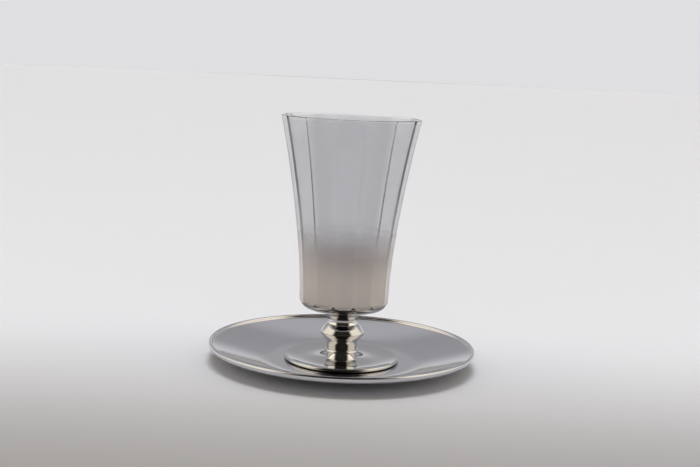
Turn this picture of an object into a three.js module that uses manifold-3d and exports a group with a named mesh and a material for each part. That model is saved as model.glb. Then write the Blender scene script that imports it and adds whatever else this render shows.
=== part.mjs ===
// Kiddush cup on its saucer, in millimetres, +Z up.
// The origin is the centre of the saucer's flat underside; the cup stands on the saucer's axis.
import * as THREE from 'three';
import { mergeVertices } from 'three/addons/utils/BufferGeometryUtils.js';
import Module from 'manifold-3d';

const wasm = await Module();
wasm.setup();

// ---- driving dimensions ----------------------------------------------------

const restGap = 0.3; // clearance kept between pieces that rest on or sit in each other

// sides of the turned surfaces
const saucerSides = 72;
const stemSides = 48;
const heelSides = 84; // six to a facet

// saucer: a round dish with a flat well, a straight sloping border and a raised bead round the edge
const saucerRadius = 70;
const saucerHeight = 10.4;
const saucerSheet = 1.6;
const wellRadius = 37;
const bendRadius = 30.7; // of the upper surface, between the well and the border
const borderSlope = THREE.MathUtils.degToRad(14.5);
const borderEndRadius = 68;
const rimBeadRadius = 0.95;

// foot: a thin polished disc, dished on top, with a thicker rounded edge
const footRadius = 30.3;
const footSheet = 0.6;
const footFlatRadius = 19;
const footEdgeZ = 3.7; // top of the edge

// stem, from the foot up: tapered base, bead ring, cove, shouldered knop, cone and neck
const stemBaseRadius = 8.3;
const stemTopRadius = 7.6; // of the base, under the bead ring
const beadRingZ = 6.6;
const beadRingRadius = 1.05;
const beadRingReach = 8.9;
const coveRadius = 7.95;
const coveZ = 10.3;
const coveSweep = 3;
const shoulderSweep = 5.4;
const shoulderLean = THREE.MathUtils.degToRad(44); // from upright, where cove and shoulder meet
const knopLean = THREE.MathUtils.degToRad(12); // from upright, at the knop's lower edge
const knopRadius = 11.65;
const knopZ = 16.55;
const knopEdge = 0.2; // height of the knop's narrow upright edge
const coneTopRadius = 8.8;
const coneTopZ = 20.7;
const neckRadius = 7.4;
const neckZ = 23.6; // where the neck is narrowest
const neckTopRadius = 9.3; // where it runs into the underside of the dish

// beaker: a trumpet of glass with fourteen flat facets, outside and in, whose round heel sits in
// a dish on the stem
const facets = 14;
const beakerBaseRadius = 23.4; // over the ridges, where the heel begins
const beakerRimRadius = 36.4; // over the ridges, at the lip
const heelTopZ = 34.9;
const rimZ = 129.4;
const flarePower = 1.6; // how the outline opens towards the rim
const heelRadius = 5.9;
const heelLean = THREE.MathUtils.degToRad(75); // where the heel's arc runs into the underside
const seatWall = 1; // thickness of the metal dish under the heel
const seatEdgeZ = 32.3; // top edge of that dish
const wall = 2; // glass between a facet outside and the one inside
const lipRound = 1.2; // outer edge of the lip, over the ridges
const innerLipRound = 0.6;
const floorZ = 31.8; // inside floor of the beaker
const floorCorner = 2.5; // rounding between the floor and the wall inside

// ---- small helpers ---------------------------------------------------------

const point = (radius, z) => new THREE.Vector2(radius, z);

// points along an arc, angles in radians from +radius towards +z
function arc(centreRadius, centreZ, radius, from, to, steps) {
  const points = [];
  for (let i = 0; i <= steps; i += 1) {
    const angle = from + ((to - from) * i) / steps;
    points.push(point(centreRadius + radius * Math.cos(angle), centreZ + radius * Math.sin(angle)));
  }
  return points;
}

// turns a closed outline about the upright axis; the outline runs from the axis back to it,
// low end first, so that the faces point out
function turned(outline, sides, startAngle = 0) {
  const geometry = new THREE.LatheGeometry(outline, sides, startAngle);
  geometry.rotateX(Math.PI / 2);
  return geometry;
}

function solid(geometry) {
  const bare = geometry.clone();
  bare.deleteAttribute('normal');
  bare.deleteAttribute('uv');
  const merged = mergeVertices(bare, 1e-4);
  const mesh = new wasm.Mesh({
    numProp: 3,
    vertProperties: new Float32Array(merged.attributes.position.array),
    triVerts: new Uint32Array(merged.index.array),
  });
  mesh.merge();
  return new wasm.Manifold(mesh);
}

function geometryOf(manifold) {
  const { vertProperties, triVerts } = manifold.getMesh();
  const geometry = new THREE.BufferGeometry();
  geometry.setAttribute('position', new THREE.BufferAttribute(vertProperties, 3));
  geometry.setIndex(new THREE.BufferAttribute(triVerts, 1));
  geometry.computeVertexNormals();
  return geometry;
}

const steps = (from, to, count) =>
  Array.from({ length: count + 1 }, (_, i) => from + ((to - from) * i) / count);

// ---- saucer ----------------------------------------------------------------

function makeSaucer() {
  const bendCentreZ = saucerSheet + bendRadius;
  const bend = (radius) => arc(wellRadius, bendCentreZ, radius, -Math.PI / 2,
    borderSlope - Math.PI / 2, 3);
  const upperBend = bend(bendRadius);
  const lowerBend = bend(bendRadius + saucerSheet);
  const along = (start, radius) =>
    point(radius, start.y + (radius - start.x) * Math.tan(borderSlope));
  const borderEnd = along(upperBend.at(-1), borderEndRadius);
  const edgeStart = along(lowerBend.at(-1), borderEndRadius + 0.4);
  const beadCentre = point(saucerRadius - rimBeadRadius, saucerHeight - rimBeadRadius);
  const bead = arc(beadCentre.x, beadCentre.y, rimBeadRadius, 0, Math.PI, 6);

  return turned([
    point(0, 0), ...lowerBend, edgeStart,
    point(saucerRadius - 0.6, edgeStart.y + 0.7), point(saucerRadius - 0.1, edgeStart.y + 1.8),
    ...bead, borderEnd, ...upperBend.reverse(), point(0, saucerSheet),
  ], saucerSides);
}

// ---- stem and foot ---------------------------------------------------------

// the round heel that the beaker and its metal dish share, from the underside up
const heelCentre = point(beakerBaseRadius - heelRadius, heelTopZ);
const heelAngleAt = (z, radius) => -Math.asin((heelCentre.y - z) / radius);

function makeStemAndFoot() {
  const footBottomZ = saucerSheet + restGap;
  const footTopZ = footBottomZ + footSheet;
  const edgeRound = (footEdgeZ - footBottomZ) / 2;
  const footReach = footRadius - edgeRound - footFlatRadius;
  const footEdge = arc(footRadius - edgeRound, footEdgeZ - edgeRound, edgeRound,
    -Math.PI / 2, Math.PI / 2, 6);
  const footTop = steps(1, 0, 4).slice(1).map((share) =>
    point(footFlatRadius + footReach * share, footTopZ + (footEdgeZ - footTopZ) * share ** 2));

  const ringCentre = beadRingReach - beadRingRadius;
  const beadRing = arc(ringCentre, beadRingZ, beadRingRadius, -Math.PI / 2, Math.PI / 2, 6);
  const base = [point(stemBaseRadius, footTopZ), point(stemTopRadius, beadRing[0].y)];

  const cove = arc(coveRadius + coveSweep, coveZ, coveSweep, Math.PI, Math.PI - shoulderLean, 3);
  const shoulderCentre = point(
    knopRadius - shoulderSweep * Math.cos(knopLean),
    knopZ + shoulderSweep * Math.sin(knopLean),
  );
  const shoulder = arc(shoulderCentre.x, shoulderCentre.y, shoulderSweep,
    -shoulderLean, -knopLean, 3);
  const knop = [
    point(knopRadius, knopZ + knopEdge),
    point(coneTopRadius, coneTopZ),
  ];

  const undersideEnd = point(
    heelCentre.x + heelRadius * Math.cos(heelLean),
    heelCentre.y - heelRadius * Math.sin(heelLean),
  );
  const undersideSlope = 1 / Math.tan(heelLean);
  const neckTopZ = undersideEnd.y - (undersideEnd.x - neckTopRadius) * undersideSlope;
  const neckRise = neckTopZ - neckZ;
  const neck = [
    point(neckRadius + 0.5, coneTopZ + 0.15),
    point(neckRadius + 0.1, coneTopZ + 1.2),
    point(neckRadius, neckZ),
    point(neckRadius + 0.15, neckZ + neckRise * 0.5),
    point(neckRadius + 0.7, neckZ + neckRise * 0.84),
    point(neckTopRadius, neckTopZ),
  ];

  const dishOutside = arc(heelCentre.x, heelCentre.y, heelRadius,
    -heelLean, heelAngleAt(seatEdgeZ, heelRadius), 4);
  const insideRadius = heelRadius - seatWall;
  const dishInside = arc(heelCentre.x, heelCentre.y, insideRadius,
    heelAngleAt(seatEdgeZ, heelRadius), -Math.PI / 2, 3);

  return turned([
    point(0, footBottomZ), ...footEdge, ...footTop, ...base,
    ...beadRing, ...cove, ...shoulder, ...knop, ...neck, ...dishOutside, ...dishInside, point(0, heelCentre.y - insideRadius),
  ], stemSides);
}

// ---- beaker ----------------------------------------------------------------

function makeBeaker() {
  const rise = rimZ - heelTopZ;
  const ridgeAt = (z) => beakerBaseRadius
    + (beakerRimRadius - beakerBaseRadius) * (Math.max(0, z - heelTopZ) / rise) ** flarePower;
  const facetShare = Math.cos(Math.PI / facets);
  const insideAt = (z) => ridgeAt(z) - wall / facetShare;
  const levels = steps(heelTopZ, rimZ, 10);

  // the facets outside, one of them facing -Y
  const belowHeelZ = heelTopZ - heelRadius - 2;
  const facetOutline = [
    point(0, belowHeelZ),
    point(beakerBaseRadius, belowHeelZ),
    ...levels.map((z) => point(ridgeAt(z), z)),
    point(0, rimZ),
  ];
  const faceted = solid(turned(facetOutline, facets, Math.PI / facets));

  // the round form that trims them: heel below, fire-polished lip above
  const seated = heelRadius - seatWall - restGap;
  const shoulder = heelAngleAt(seatEdgeZ + restGap, heelRadius);
  const outerLip = arc(beakerRimRadius - lipRound, rimZ - lipRound, lipRound, 0, Math.PI / 2, 3);
  const trimOutline = [
    point(0, heelCentre.y - seated),
    ...arc(heelCentre.x, heelCentre.y, seated, -Math.PI / 2, shoulder, 3),
    ...arc(heelCentre.x, heelCentre.y, heelRadius, shoulder, 0, 4),
    point(beakerRimRadius + 3, heelTopZ + 12),
    point(beakerRimRadius + 3, rimZ - lipRound),
    ...outerLip,
    point(0, rimZ),
  ];
  const trim = solid(turned(trimOutline, heelSides));

  // the facets inside, open at the lip
  const wallLevels = steps(floorZ + floorCorner, rimZ - innerLipRound, 10);
  const mouthRadius = insideAt(rimZ);
  const innerLip = arc(mouthRadius + innerLipRound, rimZ - innerLipRound, innerLipRound,
    Math.PI, Math.PI / 2, 2);
  const insideOutline = [
    point(0, floorZ),
    ...arc(insideAt(floorZ + floorCorner) - floorCorner, floorZ + floorCorner, floorCorner,
      -Math.PI / 2, 0, 4),
    ...wallLevels.slice(1, -1).map((z) => point(insideAt(z), z)),
    ...innerLip,
    point(mouthRadius + innerLipRound, rimZ + 5),
    point(0, rimZ + 5),
  ];
  const inside = solid(turned(insideOutline, facets, Math.PI / facets));

  return geometryOf(faceted.intersect(trim).subtract(inside));
}

// ---- the cup on its saucer -------------------------------------------------

const polishedSteel = new THREE.MeshStandardMaterial({ color: 0xb4b3b5, roughness: 0.08, metalness: 1 });
const nickelPlate = new THREE.MeshStandardMaterial({ color: 0xc9c4ba, roughness: 0.05, metalness: 1 });
const ombreGlass = new THREE.MeshStandardMaterial({ color: 0xbcb6b6, roughness: 0.1, metalness: 0.1 });

function piece(name, geometry, material) {
  const mesh = new THREE.Mesh(geometry, material);
  mesh.name = name;
  return mesh;
}

const cup = new THREE.Group();
cup.add(
  piece('saucer', makeSaucer(), polishedSteel),
  piece('stem_and_foot', makeStemAndFoot(), nickelPlate),
  piece('beaker', makeBeaker(), ombreGlass),
);

export default cup;
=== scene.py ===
import math

import bmesh
import bpy
from mathutils import Matrix, Vector


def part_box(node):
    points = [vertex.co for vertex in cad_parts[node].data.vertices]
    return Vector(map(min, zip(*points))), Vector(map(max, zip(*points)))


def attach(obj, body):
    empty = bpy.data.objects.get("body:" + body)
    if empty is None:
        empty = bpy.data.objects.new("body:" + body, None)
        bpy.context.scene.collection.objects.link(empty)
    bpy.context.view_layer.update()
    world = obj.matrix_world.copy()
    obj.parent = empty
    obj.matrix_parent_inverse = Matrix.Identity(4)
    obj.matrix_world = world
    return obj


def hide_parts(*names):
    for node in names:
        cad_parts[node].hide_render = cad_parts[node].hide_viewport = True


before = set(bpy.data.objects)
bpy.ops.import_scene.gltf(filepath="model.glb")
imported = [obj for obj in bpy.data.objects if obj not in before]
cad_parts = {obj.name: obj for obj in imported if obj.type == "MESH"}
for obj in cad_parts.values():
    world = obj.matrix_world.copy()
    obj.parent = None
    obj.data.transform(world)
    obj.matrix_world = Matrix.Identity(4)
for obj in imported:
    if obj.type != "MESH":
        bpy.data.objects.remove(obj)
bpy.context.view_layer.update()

# ---- Saucer ----------------------------------------------------------------
# A round dish pressed from nickel-plated steel sheet: a flat well, a straight sloping border and
# a bead rolled up round the edge. It is polished, with the faint turning marks of the buffing wheel.

MM = 0.001  # the pieces' sizes are in millimetres, and Blender's are in metres


def linear(code):
    """An sRGB hex colour as the linear RGBA that the shaders take."""
    channels = [int(code[i:i + 2], 16) / 255 for i in (1, 3, 5)]
    return (*[c / 12.92 if c <= 0.04045 else ((c + 0.055) / 1.055) ** 2.4 for c in channels], 1)


def add(tree, kind, inputs=None, **settings):
    """Adds a node with its settings, and sets or links its inputs."""
    made = tree.nodes.new(kind)
    for name, value in settings.items():
        setattr(made, name, value)
    for name, value in (inputs or {}).items():
        if isinstance(value, bpy.types.NodeSocket):
            tree.links.new(value, made.inputs[name])
        else:
            made.inputs[name].default_value = value
    return made


def level_length(tree, apart):
    """The length on the level of a vector that a node has taken apart."""
    x = apart.outputs["X"]
    y = apart.outputs["Y"]
    square = add(tree, "ShaderNodeMath", {0: x, 1: x}, operation="MULTIPLY")
    both = add(tree, "ShaderNodeMath", {0: y, 1: y, 2: square.outputs[0]}, operation="MULTIPLY_ADD")
    return add(tree, "ShaderNodeMath", {0: both.outputs[0]}, operation="SQRT").outputs[0]


def material(name, values):
    """A new material with plain values set on its shader, and its nodes."""
    made = bpy.data.materials.new(name)
    made.use_nodes = True
    shader = made.node_tree.nodes["Principled BSDF"]
    for socket, value in values.items():
        shader.inputs[socket].default_value = value
    return made, made.node_tree, shader


def arc(centre, radius, start, end, steps):
    """Points of a profile along an arc, angles in degrees from outwards towards up."""
    angles = [math.radians(start + (end - start) * i / steps) for i in range(steps + 1)]
    return [(centre[0] + radius * math.cos(a), centre[1] + radius * math.sin(a)) for a in angles]


def spun(profile, steps):
    """A bmesh spun from a profile of (radius, height) points in millimetres about the upright axis."""
    merge_distance = 0.002 * MM
    mesh = bmesh.new()
    points = [mesh.verts.new((r * MM, 0, z * MM)) for r, z in profile]
    edges = [mesh.edges.new(pair) for pair in zip(points, points[1:])]
    bmesh.ops.spin(mesh, geom=points + edges, cent=(0, 0, 0), axis=(0, 0, 1),
                   angle=math.tau, steps=steps, use_merge=True)
    bmesh.ops.remove_doubles(mesh, verts=mesh.verts, dist=merge_distance)
    bmesh.ops.recalc_face_normals(mesh, faces=mesh.faces)
    return mesh


def finished(name, mesh, sharp_angle):
    """Makes a smooth-shaded object from a bmesh, keeping edges sharper than the angle crisp."""
    data = bpy.data.meshes.new(name)
    mesh.to_mesh(data)
    mesh.free()
    data.polygons.foreach_set("use_smooth", [True] * len(data.polygons))
    data.set_sharp_from_angle(angle=math.radians(sharp_angle))
    made = bpy.data.objects.new(name, data)
    bpy.context.scene.collection.objects.link(made)
    return made


saucer_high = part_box("saucer")[1]
saucer_radius = saucer_high.x / MM
saucer_top = saucer_high.z / MM
sheet = 1.6
well_radius = 37
bend_radius = 30.7
border_slope = 14.5
border_end = 68
lower_border_end = border_end + 0.4
bead_radius = 0.95

bend_centre = (well_radius, sheet + bend_radius)
upper_bend = arc(bend_centre, bend_radius, start=border_slope - 90, end=-90, steps=10)
lower_bend = arc(bend_centre, bend_radius + sheet, start=-90, end=border_slope - 90, steps=10)
rise = math.tan(math.radians(border_slope))
border_top = upper_bend[0][1] + (border_end - upper_bend[0][0]) * rise
border_underside = lower_bend[-1][1] + (lower_border_end - lower_bend[-1][0]) * rise
bead_centre = (saucer_radius - bead_radius, saucer_top - bead_radius)

# the sheet curls up outside the border to the bead, as (radius, rise above the border's underside)
curl = [
    (lower_border_end, 0),
    (border_end + 1.0, 0.28),
    (saucer_radius - 0.6, 0.7),
    (saucer_radius - 0.25, 1.3),
    (saucer_radius - 0.1, 1.8),
]
# inside the bead it drops through a small crease to the top of the border
crease = [
    (bead_centre[0] - bead_radius - 0.02, border_top + 0.45),
    (border_end - 0.12, border_top + 0.1),
    (border_end - 0.5, border_top - 0.5 * rise),
]
saucer_profile = [
    (0, 0),
    *lower_bend,
    *[(r, border_underside + lift) for r, lift in curl],
    *arc(bead_centre, bead_radius, start=0, end=180, steps=16),
    *crease,
    *upper_bend,
    (0, sheet),
]
saucer = finished("polished_saucer", spun(saucer_profile, steps=192), sharp_angle=35)

# nickel plate, buffed on a wheel: a soft mirror, a little greyer than silver, with a faint haze. The
# wheel's rings are finer than this on a real saucer, and are drawn as wide as they need to show.
ring_width = 0.9
haze_width = 14
nickel, tree, shader = material("buffed nickel plate", {"Base Color": linear("#cfcfd3"), "Metallic": 1})
position = add(tree, "ShaderNodeTexCoord").outputs["Object"]
out_from_axis = level_length(tree, add(tree, "ShaderNodeSeparateXYZ", {"Vector": position}))
rings = add(tree, "ShaderNodeTexNoise", {"W": out_from_axis, "Scale": 1 / (ring_width * MM), "Detail": 2},
            noise_dimensions="1D")
haze = add(tree, "ShaderNodeTexNoise", {"Vector": position, "Scale": 1 / (haze_width * MM), "Detail": 3})
both = add(tree, "ShaderNodeMath", {0: rings.outputs[0], 1: haze.outputs[0]}, operation="ADD")
gloss = add(tree, "ShaderNodeMapRange", {"Value": both.outputs[0], "From Min": 0.6, "From Max": 1.4,
                                         "To Min": 0.07, "To Max": 0.13})
tree.links.new(gloss.outputs[0], shader.inputs["Roughness"])
saucer.data.materials.append(nickel)
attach(saucer, "root")
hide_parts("saucer")

# ---- Stem and foot ---------------------------------------------------------
# One turned piece of brass under bright nickel plate: a thin dished foot, a tapered base, a bead ring,
# a cove, a shouldered knop and a neck that opens into the shallow dish where the glass is cemented.

foot_low, foot_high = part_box("stem_and_foot")
foot_bottom = foot_low.z / MM
foot_radius = foot_high.x / MM
foot_sheet = 0.6
foot_top = foot_bottom + foot_sheet
foot_flat_radius = 19
foot_edge_top = 3.7
foot_round = (foot_edge_top - foot_bottom) / 2
foot_reach = foot_radius - foot_round - foot_flat_radius
foot_steps = 10
foot_dish = [(foot_flat_radius + foot_reach * s, foot_top + (foot_edge_top - foot_top) * s ** 2)
             for s in [1 - i / foot_steps for i in range(1, foot_steps + 1)]]
foot_edge = (foot_radius - foot_round, foot_edge_top - foot_round)

ring_centre = (7.85, 6.6)
ring_round = 1.05
cove_centre = (10.95, 10.3)
cove_round = 3
knop_radius = 11.65
knop_z = 16.55
knop_lean = math.radians(12)
shoulder_round = 5.4
shoulder_centre = (knop_radius - shoulder_round * math.cos(knop_lean),
                   knop_z + shoulder_round * math.sin(knop_lean))
cone_radius = 8.8
cone_top = 20.7
neck_radius = 7.4
neck_z = 23.6

# the beaker's round heel, which the dish follows from below
base_radius = 23.4
heel_top = 34.9
heel_radius = 5.9
heel_centre = (base_radius - heel_radius, heel_top)
dish_sheet = 1
dish_edge = heel_top - 2.6
dish_edge_angle = -math.degrees(math.asin((heel_top - dish_edge) / heel_radius))
dish_outside = arc(heel_centre, heel_radius, start=-75, end=dish_edge_angle, steps=14)
dish_inside = arc(heel_centre, heel_radius - dish_sheet, start=dish_edge_angle, end=-90, steps=10)
dish_slope = math.radians(15)
neck_top_radius = 9.3
neck_top = dish_outside[0][1] - (dish_outside[0][0] - neck_top_radius) * math.tan(dish_slope)

# the neck starts in a small hollow on top of the cone, as (outwards, rise above the cone), and
# sweeps out ever faster to the dish, as (outwards, share of its height)
neck_start = [(0.62, 0.08), (0.36, 0.3), (0.1, 1.2)]
neck_sweep = [(0, 0), (0.04, 0.26), (0.16, 0.52), (0.38, 0.72), (0.8, 0.88), (1.3, 0.97)]

stem_profile = [
    (0, foot_bottom),
    *arc(foot_edge, foot_round, start=-90, end=90, steps=16),
    *foot_dish,
    (8.5, foot_top),
    (8.24, foot_top + 0.12),
    (8.12, foot_top + 0.4),
    (7.6, 5.55),
    *arc(ring_centre, ring_round, start=-84, end=84, steps=16),
    *arc(cove_centre, cove_round, start=180, end=136, steps=10),
    *arc(shoulder_centre, shoulder_round, start=-44, end=-13, steps=10),
    (knop_radius - 0.02, knop_z),
    (knop_radius, knop_z + 0.1),
    (knop_radius - 0.03, knop_z + 0.24),
    (cone_radius + 0.12, cone_top - 0.17),
    (cone_radius - 0.02, cone_top - 0.02),
    *[(neck_radius + out, cone_top + lift) for out, lift in neck_start],
    *[(neck_radius + out, neck_z + (neck_top - neck_z) * share) for out, share in neck_sweep],
    (neck_top_radius, neck_top),
    *dish_outside,
    *dish_inside,
    (0, heel_top - heel_radius + dish_sheet),
]
stem = finished("plated_stem_and_foot", spun(stem_profile, steps=160), sharp_angle=28)

# bright nickel over polished brass: a full mirror of neutral grey, faintly smeared by handling
smear_width = 6
plate, tree, shader = material("bright nickel plate", {"Base Color": linear("#d0d0d1"), "Metallic": 1})
position = add(tree, "ShaderNodeTexCoord").outputs["Object"]
smear = add(tree, "ShaderNodeTexNoise", {"Vector": position, "Scale": 1 / (smear_width * MM), "Detail": 4})
gloss = add(tree, "ShaderNodeMapRange", {"Value": smear.outputs[0], "From Min": 0.3, "From Max": 0.7,
                                         "To Min": 0.025, "To Max": 0.06})
tree.links.new(gloss.outputs[0], shader.inputs["Roughness"])
stem.data.materials.append(plate)
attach(stem, "root")
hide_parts("stem_and_foot")

# ---- Beaker ----------------------------------------------------------------
# Clear pressed glass with fourteen long flat flutes and a fire-polished lip. Its round heel is silvered
# and cemented into the dish of the stem.

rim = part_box("beaker")[1].z / MM
rim_radius = 36.4
flare_power = 1.6
flutes = 14
half_pitch = math.pi / flutes
hollow = 0.15
ridge_rounding = 0.5
inner_ridge_rounding = 0.8
wall = 2
lip_round = 1.2
inner_lip_round = 0.6
floor_z = heel_top - 3.1
floor_corner = 2.5
floor_fade = 4
seated_radius = heel_radius - 1.3
seated_z = heel_top - 2.3
seated_angle = -math.degrees(math.asin((heel_top - seated_z) / heel_radius))


def ridge_radius(z):
    """Radius over the ridges at a height."""
    share = max(0, z - heel_top) / (rim - heel_top)
    return base_radius + (rim_radius - base_radius) * share ** flare_power


def inside_radius(z):
    """Radius over the ridges inside, a wall's thickness within the outside."""
    return ridge_radius(z) - wall / math.cos(half_pitch)


def flute_cut(radius, angle, rounding):
    """How far a flute lies within the ridges at an azimuth. It is a slightly hollow flat, with the ridges
    on both sides of it rounded."""
    off = abs((angle + math.pi / 2 + half_pitch) % (2 * half_pitch) - half_pitch)
    flat = radius * (1 - math.cos(half_pitch) / math.cos(off)) + hollow * (1 - (off / half_pitch) ** 2)
    near = max(0, rounding - (half_pitch - off) * radius)
    return flat + near ** 2 / (2 * rounding) * math.tan(half_pitch)


def round_radius(z):
    """Radius of the round form that trims the flutes: the heel below and the lip above."""
    if z < heel_top:
        return heel_centre[0] + math.sqrt(max(0, heel_radius ** 2 - (heel_top - z) ** 2))
    if z > rim - lip_round:
        return rim_radius - lip_round + math.sqrt(max(0, lip_round ** 2 - (z - rim + lip_round) ** 2))
    return math.inf


def levels(start, end, steps):
    """Even heights after the start, up to and with the end."""
    return [start + (end - start) * i / steps for i in range(1, steps + 1)]


def fluted(mesh, outer_rounding, inner_rounding):
    """Cuts the flutes into a spun bmesh, with its columns drawn together towards the ridges. They go
    the whole height outside above the seat, and inside they fade out across the floor."""
    for vertex in mesh.verts:
        radius = vertex.co.xy.length / MM
        z = vertex.co.z / MM
        turn = math.atan2(vertex.co.y, vertex.co.x) + math.pi / 2
        middle = round(turn / (2 * half_pitch)) * 2 * half_pitch
        off = (turn - middle) / half_pitch
        angle = middle + half_pitch * math.sin(off * math.pi / 2) - math.pi / 2
        outside = radius > ridge_radius(z) - wall / 2 and z > seated_z + 0.01
        if outside:
            radius = min(radius - flute_cut(radius, angle, outer_rounding), round_radius(z))
        elif z > floor_z - 0.2:
            radius -= flute_cut(radius, angle, inner_rounding) * (radius / inside_radius(z)) ** floor_fade
        vertex.co.xy = radius * MM * math.cos(angle), radius * MM * math.sin(angle)


lip_steps = 10
lip_levels = [rim - lip_round + lip_round * math.sin(math.radians(90 / lip_steps * i))
              for i in range(1, lip_steps)]
outer_levels = [
    *levels(seated_z, heel_top, steps=22),
    *levels(heel_top, rim - lip_round, steps=40),
    *lip_levels,
]
inside_levels = levels(rim - inner_lip_round, floor_z + floor_corner, steps=40)[:-1]
lip_centre = (inside_radius(rim) + inner_lip_round, rim - inner_lip_round)
corner_centre = (inside_radius(floor_z + floor_corner) - floor_corner, floor_z + floor_corner)

beaker_profile = [
    (0, heel_top - seated_radius),
    *arc(heel_centre, seated_radius, start=-90, end=seated_angle, steps=8),
    (round_radius(seated_z), seated_z),
    *[(ridge_radius(z), z) for z in outer_levels],
    *arc(lip_centre, inner_lip_round, start=90, end=180, steps=8),
    *[(inside_radius(z), z) for z in inside_levels],
    *arc(corner_centre, floor_corner, start=0, end=-90, steps=10),
    (0, floor_z),
]
columns = flutes * 16
beaker = spun(beaker_profile, columns)
fluted(beaker, ridge_rounding, inner_ridge_rounding)

# the outside of the heel, up to where the flats cut into its round form, takes the second material
silvered = 1
for face in beaker.faces:
    centre = face.calc_center_median() / MM
    angle = math.atan2(centre.y, centre.x)
    flat_radius = ridge_radius(centre.z) - flute_cut(ridge_radius(centre.z), angle, ridge_rounding)
    outside = centre.xy.length > ridge_radius(centre.z) - wall / 2 or centre.z < floor_z - 0.2
    if centre.z < heel_top and outside and round_radius(centre.z) < flat_radius + 0.02:
        face.material_index = silvered
beaker = finished("fluted_glass", beaker, sharp_angle=30)

# soda-lime glass, pressed and fire-polished: clear, hard gloss
glass, tree, shader = material("clear soda-lime glass", {
    "Base Color": linear("#fbfcfd"),
    "Roughness": 0,
    "IOR": 1.5,
    "Transmission Weight": 1,
})
beaker.data.materials.append(glass)
beaker.data.materials.append(plate)
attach(beaker, "root")
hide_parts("beaker")

# ---- Silver film -----------------------------------------------------------
# A satin silver lacquer sprayed on the inside of the glass: opaque at the foot of the beaker, and
# thinned to a lavender grey veil from the lower third up to the lip.

film_depth = 0.08
film_levels = levels(floor_z + floor_corner, rim - inner_lip_round, steps=52)
film_profile = [
    (0, floor_z - film_depth),
    *arc(corner_centre, floor_corner + film_depth, start=-90, end=0, steps=10),
    *[(inside_radius(z) + film_depth, z) for z in film_levels],
]
film = spun(film_profile, columns)
fluted(film, ridge_rounding, inner_ridge_rounding)
film = finished("silver_film", film, sharp_angle=60)

# sprayed lacquer with silver pigment: a satin sheen, warm and pale where it covers, and a cool veil
# where it thins out. The spray drifts a little, so neither change runs level round the glass.
drift_width = 9
drift_height = 3
cover_start = 43
cover_end = 78
tint_start = 52
tint_end = 84
lacquer, tree, shader = material("satin silver lacquer", {"Metallic": 0.1, "Roughness": 0.5})
position = add(tree, "ShaderNodeTexCoord").outputs["Object"]
height = add(tree, "ShaderNodeSeparateXYZ", {"Vector": position}).outputs["Z"]
spray = add(tree, "ShaderNodeTexNoise", {"Vector": position, "Scale": 1 / (drift_width * MM), "Detail": 2})
drift = add(tree, "ShaderNodeMath", {0: spray.outputs[0], 1: drift_height * MM, 2: height},
            operation="MULTIPLY_ADD")
cover = add(tree, "ShaderNodeMapRange", {"Value": drift.outputs[0], "To Min": 1, "To Max": 0.28,
                                         "From Min": cover_start * MM, "From Max": cover_end * MM},
            interpolation_type="SMOOTHSTEP")
tint = add(tree, "ShaderNodeMapRange", {"Value": drift.outputs[0],
                                        "From Min": tint_start * MM, "From Max": tint_end * MM},
           interpolation_type="SMOOTHSTEP")
colour = add(tree, "ShaderNodeMix", {"Factor": tint.outputs[0],
                                     "A": linear("#f8efec"), "B": linear("#b2b2c4")}, data_type="RGBA")
tree.links.new(colour.outputs["Result"], shader.inputs["Base Color"])
tree.links.new(cover.outputs[0], shader.inputs["Alpha"])
film.data.materials.append(lacquer)
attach(film, "root")

# ---- Table, light and camera -----------------------------------------------
# A pale cloth-covered table that runs far back under a low, wide bank of light, with a softbox behind
# the camera for the front of the glass. The room round it is light, but dark on the camera's side.

table_radius = 9
mesh = bmesh.new()
bmesh.ops.create_circle(mesh, cap_ends=True, segments=96, radius=table_radius)
table = finished("table", mesh, sharp_angle=30)

# pale cotton cloth, quite matt, that lies in broad and very low waves
fold_width = 0.35
cloth, tree, shader = material("pale cotton cloth", {"Base Color": linear("#bcbdc2"), "Roughness": 0.95})
position = add(tree, "ShaderNodeTexCoord").outputs["Object"]
folds = add(tree, "ShaderNodeTexNoise", {"Vector": position, "Scale": 1 / fold_width, "Detail": 3,
                                         "Roughness": 0.5})
relief = add(tree, "ShaderNodeBump", {"Height": folds.outputs[0], "Distance": 0.02, "Strength": 0.4})
tree.links.new(relief.outputs[0], shader.inputs["Normal"])
table.data.materials.append(cloth)

world = bpy.data.worlds.new("light room")
bpy.context.scene.world = world
world.use_nodes = True
tree = world.node_tree
background = tree.nodes["Background"]
direction = add(tree, "ShaderNodeTexCoord").outputs["Generated"]
apart = add(tree, "ShaderNodeSeparateXYZ", {"Vector": direction})
up = apart.outputs["Z"]
back = add(tree, "ShaderNodeMath", {0: apart.outputs["Y"], 1: level_length(tree, apart)},
           operation="DIVIDE").outputs[0]

# how bright the room is by direction: up goes from 0 on the level to 1 overhead, and back from -1 on
# the camera's side to 1 behind the cup. A row says what it reads, from where to where, and the
# brightness at each end.
room = {
    "walls": (up, 0.06, 0.3, 0.76, 0.42),
    "upper walls": (up, 0.55, 0.72, 0, 0.16),
    "sides": (back, 0.7, 0.3, 0, 0.8),
    "camera side": (back, -0.75, -0.45, 0.02, 1),
    "ceiling": (up, 0.93, 0.8, 0.15, 1),
}
glow = {}
for part, (reading, start, end, start_glow, end_glow) in room.items():
    ramp = add(tree, "ShaderNodeMapRange", {"Value": reading, "From Min": start, "From Max": end,
                                            "To Min": start_glow, "To Max": end_glow},
               interpolation_type="SMOOTHSTEP")
    glow[part] = ramp.outputs[0]

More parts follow.
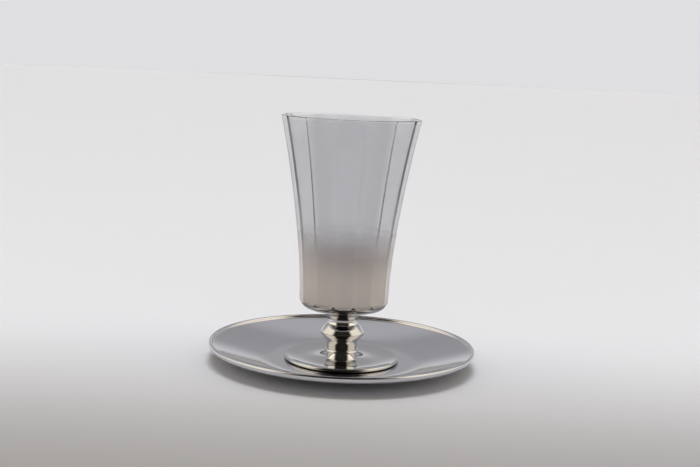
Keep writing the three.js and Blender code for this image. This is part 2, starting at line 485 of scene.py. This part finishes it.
# the walls add up, and the camera's side and the ceiling dim them
strength = glow["walls"]
for part, operation in [("upper walls", "ADD"), ("sides", "ADD"),
                        ("camera side", "MULTIPLY"), ("ceiling", "MULTIPLY")]:
    strength = add(tree, "ShaderNodeMath", {0: strength, 1: glow[part]}, operation=operation).outputs[0]
tree.links.new(strength, background.inputs["Strength"])
warmth = add(tree, "ShaderNodeMix", {"Factor": glow["sides"],
                                     "A": linear("#fcfcff"), "B": linear("#fff0d4")}, data_type="RGBA")
tree.links.new(warmth.outputs["Result"], background.inputs["Color"])


def softbox(name, size, energy, place, spread=180, tilt=0):
    """A rectangular light that neither the camera nor a mirror sees, tilted from straight down towards
    the back. Sizes are in metres and angles in degrees."""
    light = bpy.data.lights.new(name, "AREA")
    light.shape = "RECTANGLE"
    light.size, light.size_y = size
    light.energy = energy
    light.spread = math.radians(spread)
    made = bpy.data.objects.new(name, light)
    made.location = place
    made.rotation_euler.x = math.radians(tilt)
    made.visible_camera = False
    made.visible_glossy = False
    bpy.context.scene.collection.objects.link(made)
    return made


# the bank's front edge is just in front of the saucer and its spread is narrow, so the table falls off
# into shade in front
bank = softbox("overhead bank", size=(12, 9), energy=340, place=(0, 4.42, 0.45), spread=48)
bank.visible_transmission = False
softbox("front softbox", size=(2.8, 1.3), energy=14, place=(0, -1.7, 0.66), tilt=76)

camera_distance = 611.8
camera_height = 158.6
camera_turn = -0.16
camera_dip = 8.36
camera_roll = 2.61
camera_data = bpy.data.cameras.new("camera")
camera_data.lens = 60.99
camera_data.sensor_width = 36
camera = bpy.data.objects.new("camera", camera_data)
camera.matrix_world = (Matrix.Translation(Vector((0, -camera_distance, camera_height)) * MM)
                       @ Matrix.Rotation(math.radians(camera_turn), 4, "Z")
                       @ Matrix.Rotation(math.radians(90 - camera_dip), 4, "X")
                       @ Matrix.Rotation(math.radians(camera_roll), 4, "Z"))
bpy.context.scene.collection.objects.link(camera)
bpy.context.scene.camera = camera
bpy.context.scene.view_settings.view_transform = "Standard"
